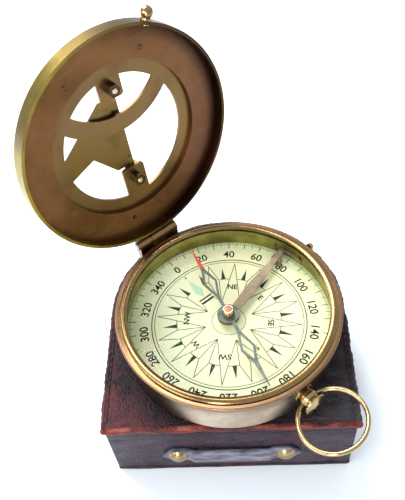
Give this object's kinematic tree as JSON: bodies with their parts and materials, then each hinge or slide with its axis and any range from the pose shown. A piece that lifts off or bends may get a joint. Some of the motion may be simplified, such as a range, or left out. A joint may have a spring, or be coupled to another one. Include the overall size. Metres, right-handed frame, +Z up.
{
  "type": "pocket sundial",
  "caption": "Brass pocket sundial compass with an open hinged lid and folding gnomon, on its leather carrying case.",
  "frame": {"origin": "middle of the carrying case's underside, where it stands on the table", "axes": "+Z up; -Y towards the straight front of the carrying case with its loop; +X to the right of it"},
  "size_m": [0.1032, 0.1135, 0.1308],
  "materials": {
    "case_leather": "worn",
    "polished_brass": "polished and handled",
    "browned_brass": "browned",
    "aged_brass": "dull",
    "needle_steel": "blued and dulled",
    "pin_steel": "dull",
    "printed_card": "printed paper card",
    "cover_glass": "clear",
    "garnet": "polished stone"
  },
  "bodies": {
    "carrying_case": {"wrap_base": "case_leather", "wrap_gusset": "case_leather", "wrap_spine": "case_leather", "wrap_cover": "case_leather", "carry_loop": "case_leather", "loop_rivets": "aged_brass"},
    "instrument": {"drum": "polished_brass", "dial_spacer": "aged_brass", "dial_plate": "aged_brass", "dial_card": "printed_card", "wall_liner": "aged_brass", "glass": "cover_glass", "bezel": "polished_brass", "pivot_post": "pin_steel", "fulcrum_bracket": "aged_brass", "fulcrum_pin": "pin_steel", "pendant": "polished_brass", "case_leaf": "polished_brass", "case_leaf_screws": "aged_brass", "hinge_pin": "pin_steel"},
    "needle": {"needle": "needle_steel", "needle_cap": "aged_brass", "cap_jewel": "garnet"},
    "arrest_lever": {"arrest_lever": "aged_brass"},
    "arrest_button": {"arrest_button": "polished_brass"},
    "bow": {"bow_ring": "polished_brass"},
    "lid": {"lid_leaf": "polished_brass", "lid_leaf_rivets": "aged_brass", "lid_rim": "polished_brass", "hour_plate": "browned_brass", "ring_plate": "browned_brass", "ring_rivets": "aged_brass", "thumb_knob": "polished_brass", "gnomon_bracket_south": "aged_brass", "gnomon_bracket_north": "aged_brass", "gnomon_pin_south": "pin_steel", "gnomon_pin_north": "pin_steel", "lug_screw_south": "aged_brass", "lug_screw_north": "aged_brass", "lug_nut_south": "aged_brass", "lug_nut_north": "aged_brass"},
    "gnomon": {"gnomon": "browned_brass"}
  },
  "joints": [
    {"name": "instrument_lift", "type": "slide", "parent": "carrying_case", "child": "instrument", "axis": [0, 0, 1], "range_m": [0, 0.05]},
    {"name": "lid_hinge", "type": "hinge", "parent": "instrument", "child": "lid", "pos_m": [-0.02446, 0.02263, 0.0532], "axis": [0.7804, 0.6252, 0], "range_deg": [0, 98.6]},
    {"name": "gnomon_hinge", "type": "hinge", "parent": "lid", "child": "gnomon", "pos_m": [-0.03077, 0.03178, 0.09238], "axis": [0.0935, -0.1167, -0.9888], "range_deg": [0, 90]},
    {"name": "needle_spin", "type": "hinge", "parent": "instrument", "child": "needle", "pos_m": [0.0008, -0.0089, 0.0468], "axis": [0, 0, 1], "continuous": true},
    {"name": "bow_swivel", "type": "hinge", "parent": "instrument", "child": "bow", "pos_m": [0.02537, -0.03957, 0.0434], "axis": [-0.7715, -0.618, -0.1513], "range_deg": [-20, 84]},
    {"name": "arrest_button_push", "type": "slide", "parent": "instrument", "child": "arrest_button", "axis": [-0.7524, -0.6587, 0], "range_m": [0, 0.001], "stiffness_N_per_m": 100, "springref_m": -0.0008},
    {"name": "arrest_lever_tilt", "type": "hinge", "parent": "instrument", "child": "arrest_lever", "pos_m": [0.01864, 0.01584, 0.04495], "axis": [-0.8111, 0.585, 0], "range_deg": [0, 1.45]}
  ],
  "couplings": [
    {"joint": "arrest_lever_tilt", "follows": "arrest_button_push", "rad_per_m": 25.3}
  ]
}
